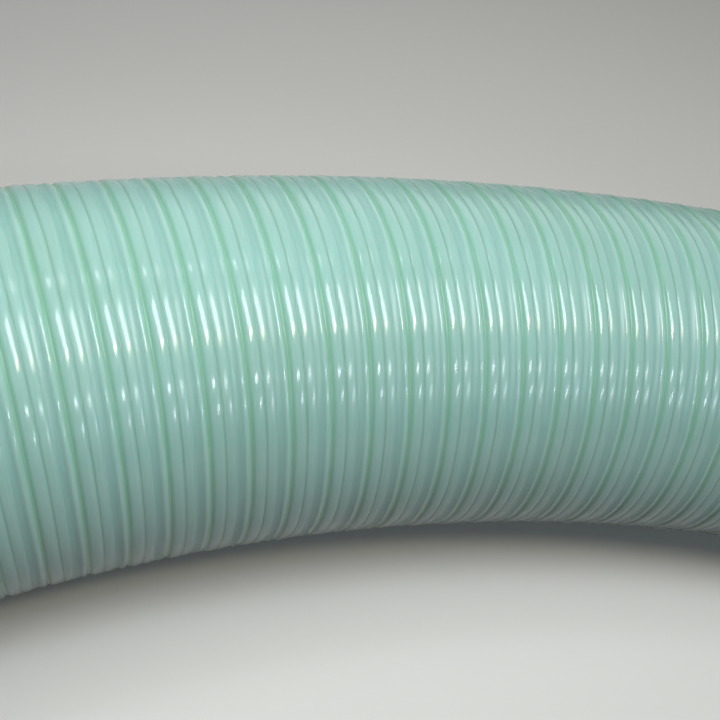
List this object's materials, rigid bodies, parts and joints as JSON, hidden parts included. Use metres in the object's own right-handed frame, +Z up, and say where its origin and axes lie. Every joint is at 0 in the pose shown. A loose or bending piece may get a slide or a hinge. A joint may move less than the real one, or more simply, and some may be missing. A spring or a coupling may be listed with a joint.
{
  "type": "slurry hose",
  "caption": "Cut length of six-inch slurry hose: a helically ribbed, translucent green PVC tube, open at both ends, lying in the gentle bend kept from its coil.",
  "frame": {"origin": "on the floor, below the centre of the hose's bounding box", "axes": "+Z up; the hose runs along X and bends in a level plane, with the centre of the bend on the -Y side"},
  "size_m": [1.036, 0.2966, 0.168],
  "materials": {
    "translucent_green_pvc": "glossy translucent flexible PVC"
  },
  "bodies": {
    "root": {"slurry_hose": "translucent_green_pvc"}
  },
  "joints": []
}
